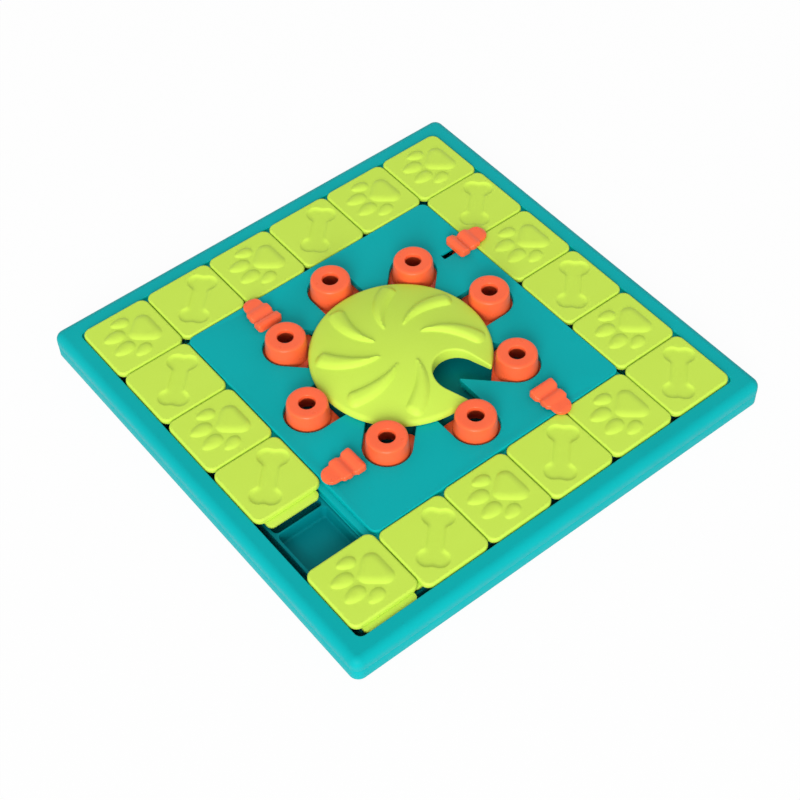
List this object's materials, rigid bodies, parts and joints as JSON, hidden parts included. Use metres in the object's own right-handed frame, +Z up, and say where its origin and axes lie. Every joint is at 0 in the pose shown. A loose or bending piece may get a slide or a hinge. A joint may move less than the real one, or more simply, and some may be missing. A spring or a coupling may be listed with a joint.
{
  "type": "dog puzzle feeder toy",
  "caption": "Square puzzle feeder board with sliding tiles over treat wells, a turning notched wheel, sliding pegs over cups and thumb lockers.",
  "frame": {"origin": "middle of the plane that the feet stand on", "axes": "+Z up through the wheel; +X towards the corner tile that has been pushed back, +Y away from the row with the free place"},
  "size_m": [0.4192, 0.4192, 0.0446],
  "materials": {
    "case_plastic": "satin moulded ABS, teal",
    "tray_plastic": "satin moulded ABS, darker teal",
    "tile_plastic": "soft satin moulded ABS, lime",
    "peg_plastic": "soft satin moulded ABS, orange",
    "rubber": "matt",
    "steel": "zinc plated"
  },
  "bodies": {
    "case": {"bottom_tray": "case_plastic", "top_frame": "case_plastic", "deck_plate": "case_plastic", "well_tray_1": "tray_plastic", "well_tray_2": "tray_plastic", "well_tray_3": "tray_plastic", "well_tray_4": "tray_plastic", "well_pair_1": "tray_plastic", "well_pair_2": "tray_plastic", "well_pair_3": "tray_plastic", "well_pair_4": "tray_plastic", "star_tray": "tray_plastic", "foot_1": "rubber", "foot_2": "rubber", "foot_3": "rubber", "foot_4": "rubber", "rim_screw_1": "steel", "rim_screw_2": "steel", "rim_screw_3": "steel", "rim_screw_4": "steel", "deck_screw_1": "steel", "deck_screw_2": "steel"},
    "wheel_body": {"wheel": "tile_plastic", "axle_screw": "steel", "axle_washer": "steel"},
    "peg_body_1": {"peg_1": "peg_plastic"},
    "peg_body_2": {"peg_2": "peg_plastic"},
    "peg_body_3": {"peg_3": "peg_plastic"},
    "peg_body_4": {"peg_4": "peg_plastic"},
    "peg_body_5": {"peg_5": "peg_plastic"},
    "peg_body_6": {"peg_6": "peg_plastic"},
    "peg_body_7": {"peg_7": "peg_plastic"},
    "peg_body_8": {"peg_8": "peg_plastic"},
    "locker_body_1": {"locker_1": "peg_plastic", "locker_keeper_1": "peg_plastic"},
    "locker_body_2": {"locker_2": "peg_plastic", "locker_keeper_2": "peg_plastic"},
    "locker_body_3": {"locker_3": "peg_plastic", "locker_keeper_3": "peg_plastic"},
    "locker_body_4": {"locker_4": "peg_plastic", "locker_keeper_4": "peg_plastic"},
    "tile_body_1": {"tile_paw_1": "tile_plastic"},
    "tile_body_2": {"tile_bone_2": "tile_plastic"},
    "tile_body_3": {"tile_paw_3": "tile_plastic"},
    "tile_body_4": {"tile_bone_4": "tile_plastic"},
    "tile_body_6": {"tile_paw_6": "tile_plastic"},
    "tile_body_7": {"tile_bone_7": "tile_plastic"},
    "tile_body_8": {"tile_paw_8": "tile_plastic"},
    "tile_body_9": {"tile_bone_9": "tile_plastic"},
    "tile_body_10": {"tile_paw_10": "tile_plastic"},
    "tile_body_11": {"tile_bone_11": "tile_plastic"},
    "tile_body_12": {"tile_paw_12": "tile_plastic"},
    "tile_body_13": {"tile_bone_13": "tile_plastic"},
    "tile_body_14": {"tile_paw_14": "tile_plastic"},
    "tile_body_15": {"tile_bone_15": "tile_plastic"},
    "tile_body_16": {"tile_paw_16": "tile_plastic"},
    "tile_body_17": {"tile_paw_17": "tile_plastic"},
    "tile_body_18": {"tile_bone_18": "tile_plastic"},
    "tile_body_19": {"tile_paw_19": "tile_plastic"},
    "tile_body_20": {"tile_bone_20": "tile_plastic"}
  },
  "joints": [
    {"name": "wheel_turn", "type": "hinge", "parent": "case", "child": "wheel_body", "pos_m": [0, 0, 0.0255], "axis": [0, 0, 1], "continuous": true},
    {"name": "peg_slide_1", "type": "slide", "parent": "case", "child": "peg_body_1", "axis": [-1, 0, 0], "range_m": [-0.0008, 0.0003]},
    {"name": "peg_slide_2", "type": "slide", "parent": "case", "child": "peg_body_2", "axis": [-0.7071, -0.7071, 0], "range_m": [-0.0008, 0.0003]},
    {"name": "peg_slide_3", "type": "slide", "parent": "case", "child": "peg_body_3", "axis": [0, -1, 0], "range_m": [-0.0008, 0.0003]},
    {"name": "peg_slide_4", "type": "slide", "parent": "case", "child": "peg_body_4", "axis": [0.7071, -0.7071, 0], "range_m": [-0.0008, 0.0003]},
    {"name": "peg_slide_5", "type": "slide", "parent": "case", "child": "peg_body_5", "axis": [1, 0, 0], "range_m": [-0.0008, 0.0003]},
    {"name": "peg_slide_6", "type": "slide", "parent": "case", "child": "peg_body_6", "axis": [0.7071, 0.7071, 0], "range_m": [-0.0008, 0.0003]},
    {"name": "peg_slide_7", "type": "slide", "parent": "case", "child": "peg_body_7", "axis": [0, 1, 0], "range_m": [-0.0008, 0.0003]},
    {"name": "peg_slide_8", "type": "slide", "parent": "case", "child": "peg_body_8", "axis": [-0.7071, 0.7071, 0], "range_m": [-0.0008, 0.0003]},
    {"name": "locker_slide_1", "type": "slide", "parent": "case", "child": "locker_body_1", "axis": [-1, 0, 0], "range_m": [-0.01, 0.006]},
    {"name": "locker_slide_2", "type": "slide", "parent": "case", "child": "locker_body_2", "axis": [0, -1, 0], "range_m": [0, 0.016]},
    {"name": "locker_slide_3", "type": "slide", "parent": "case", "child": "locker_body_3", "axis": [1, 0, 0], "range_m": [-0.016, 0]},
    {"name": "locker_slide_4", "type": "slide", "parent": "case", "child": "locker_body_4", "axis": [0, 1, 0], "range_m": [-0.016, 0]},
    {"name": "tile_slide_1", "type": "slide", "parent": "case", "child": "tile_body_1", "axis": [1, 0, 0], "range_m": [-0.00025, 0.00025]},
    {"name": "tile_slide_2", "type": "slide", "parent": "case", "child": "tile_body_2", "axis": [1, 0, 0], "range_m": [-0.00025, 0.00025]},
    {"name": "tile_slide_3", "type": "slide", "parent": "case", "child": "tile_body_3", "axis": [1, 0, 0], "range_m": [-0.00025, 0.00025]},
    {"name": "tile_slide_4", "type": "slide", "parent": "case", "child": "tile_body_4", "axis": [1, 0, 0], "range_m": [0, 0.058]},
    {"name": "tile_slide_6", "type": "slide", "parent": "case", "child": "tile_body_6", "axis": [1, 0, 0], "range_m": [-0.058, 0.006]},
    {"name": "tile_slide_7", "type": "slide", "parent": "case", "child": "tile_body_7", "axis": [0, 1, 0], "range_m": [-0.00025, 0.00025]},
    {"name": "tile_slide_8", "type": "slide", "parent": "case", "child": "tile_body_8", "axis": [0, 1, 0], "range_m": [-0.00025, 0.00025]},
    {"name": "tile_slide_9", "type": "slide", "parent": "case", "child": "tile_body_9", "axis": [0, 1, 0], "range_m": [-0.00025, 0.00025]},
    {"name": "tile_slide_10", "type": "slide", "parent": "case", "child": "tile_body_10", "axis": [0, 1, 0], "range_m": [-0.00025, 0.00025]},
    {"name": "tile_slide_11", "type": "slide", "parent": "case", "child": "tile_body_11", "axis": [1, 0, 0], "range_m": [-0.00025, 0.00025]},
    {"name": "tile_slide_12", "type": "slide", "parent": "case", "child": "tile_body_12", "axis": [1, 0, 0], "range_m": [-0.00025, 0.00025]},
    {"name": "tile_slide_13", "type": "slide", "parent": "case", "child": "tile_body_13", "axis": [1, 0, 0], "range_m": [-0.00025, 0.00025]},
    {"name": "tile_slide_14", "type": "slide", "parent": "case", "child": "tile_body_14", "axis": [1, 0, 0], "range_m": [-0.00025, 0.00025]},
    {"name": "tile_slide_15", "type": "slide", "parent": "case", "child": "tile_body_15", "axis": [1, 0, 0], "range_m": [-0.00025, 0.00025]},
    {"name": "tile_slide_16", "type": "slide", "parent": "case", "child": "tile_body_16", "axis": [0, 1, 0], "range_m": [-0.00025, 0.00025]},
    {"name": "tile_slide_17", "type": "slide", "parent": "case", "child": "tile_body_17", "axis": [0, 1, 0], "range_m": [-0.00025, 0.00025]},
    {"name": "tile_slide_18", "type": "slide", "parent": "case", "child": "tile_body_18", "axis": [0, 1, 0], "range_m": [-0.00025, 0.00025]},
    {"name": "tile_slide_19", "type": "slide", "parent": "case", "child": "tile_body_19", "axis": [0, 1, 0], "range_m": [-0.00025, 0.00025]},
    {"name": "tile_slide_20", "type": "slide", "parent": "case", "child": "tile_body_20", "axis": [0, 1, 0], "range_m": [-0.00025, 0.00025]}
  ]
}
